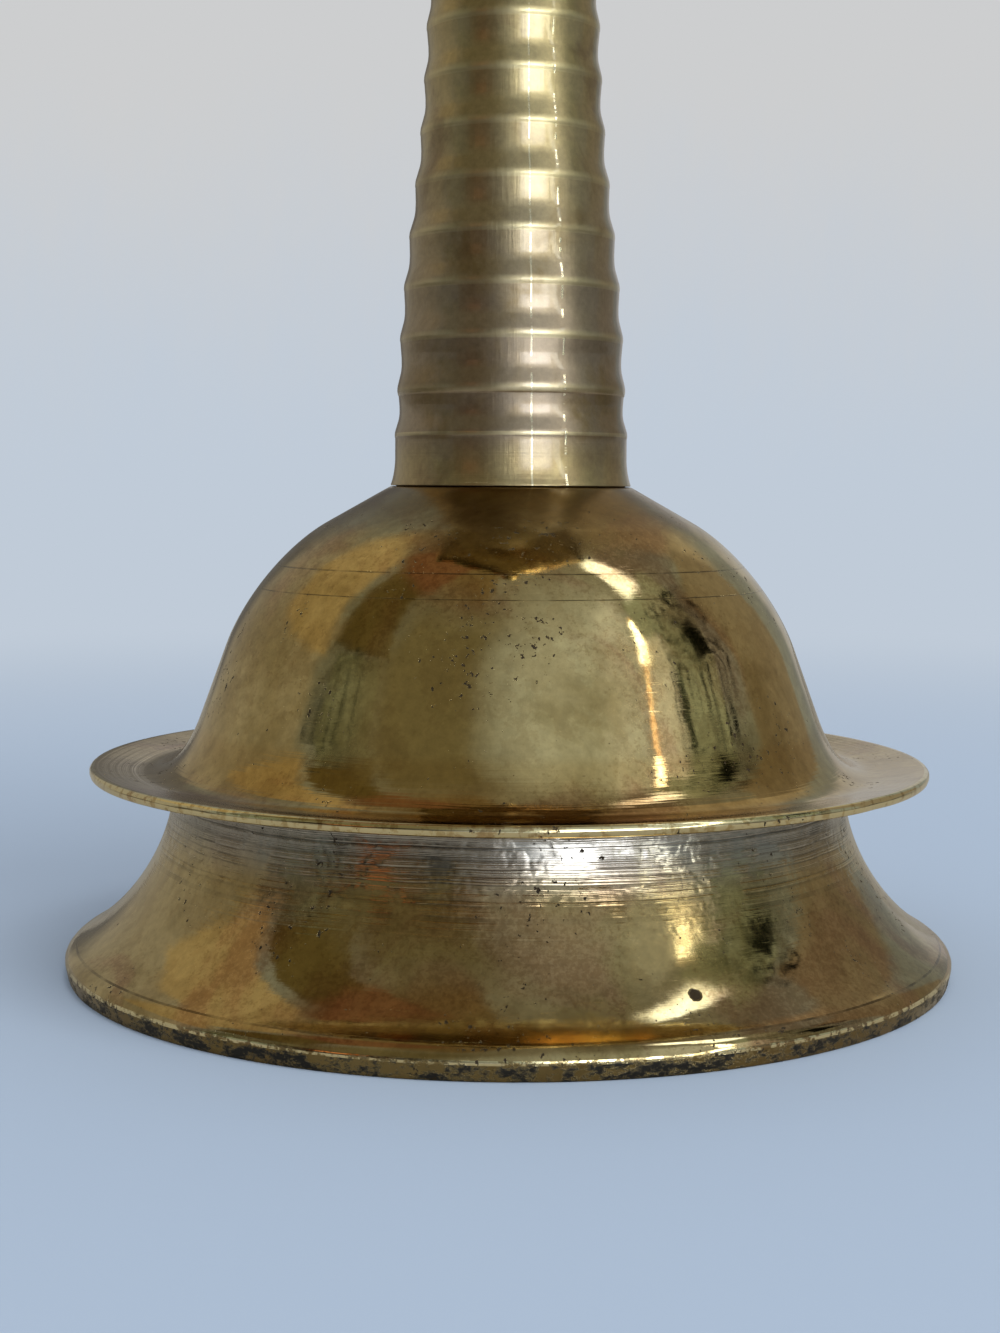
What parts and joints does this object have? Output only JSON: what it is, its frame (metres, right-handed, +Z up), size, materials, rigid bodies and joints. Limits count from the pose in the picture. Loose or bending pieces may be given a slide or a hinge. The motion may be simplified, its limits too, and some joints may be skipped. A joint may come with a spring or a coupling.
{
  "type": "oil lamp",
  "caption": "Standing brass oil lamp: hollow bell base with a drip flange, ringed stem, lipped oil bowl and pointed finial, screwed together.",
  "frame": {"origin": "middle of the foot ring, on the surface the lamp stands on", "axes": "+Z up along the turned axis, from the foot ring to the finial's tip; -Y towards the viewer and through one wick lip"},
  "size_m": [0.1, 0.1, 0.2511],
  "materials": {
    "polished_brass": "polished cast brass with brown tarnish",
    "satin_brass": "turned satin brass, dulled",
    "packing": "oil-soaked fibre packing"
  },
  "bodies": {
    "base": {"base_casting": "polished_brass"},
    "stem_packing": {"stem_washer": "packing"},
    "stem": {"stem": "satin_brass"},
    "bowl_packing": {"bowl_washer": "packing"},
    "bowl": {"oil_bowl": "polished_brass"},
    "finial_packing": {"finial_washer": "packing"},
    "finial": {"finial": "polished_brass"}
  },
  "joints": [
    {"name": "stem_lift", "type": "slide", "parent": "base", "child": "stem_packing", "axis": [0, 0, 1], "range_m": [0, 0.01]},
    {"name": "stem_turn", "type": "hinge", "parent": "stem_packing", "child": "stem", "pos_m": [0, 0, 0.0543], "axis": [0, 0, 1], "range_deg": [0, 1800]},
    {"name": "bowl_lift", "type": "slide", "parent": "stem", "child": "bowl_packing", "axis": [0, 0, 1], "range_m": [0, 0.008]},
    {"name": "bowl_turn", "type": "hinge", "parent": "bowl_packing", "child": "bowl", "pos_m": [0, 0, 0.1469], "axis": [0, 0, 1], "range_deg": [0, 1440]},
    {"name": "finial_lift", "type": "slide", "parent": "bowl", "child": "finial_packing", "axis": [0, 0, 1], "range_m": [0, 0.008]},
    {"name": "finial_turn", "type": "hinge", "parent": "finial_packing", "child": "finial", "pos_m": [0, 0, 0.1651], "axis": [0, 0, 1], "range_deg": [0, 1440]}
  ],
  "couplings": [
    {"joint": "stem_turn", "follows": "stem_lift", "rad_per_m": 3141.6},
    {"joint": "bowl_turn", "follows": "bowl_lift", "rad_per_m": 3141.6},
    {"joint": "finial_turn", "follows": "finial_lift", "rad_per_m": 3141.6}
  ]
}
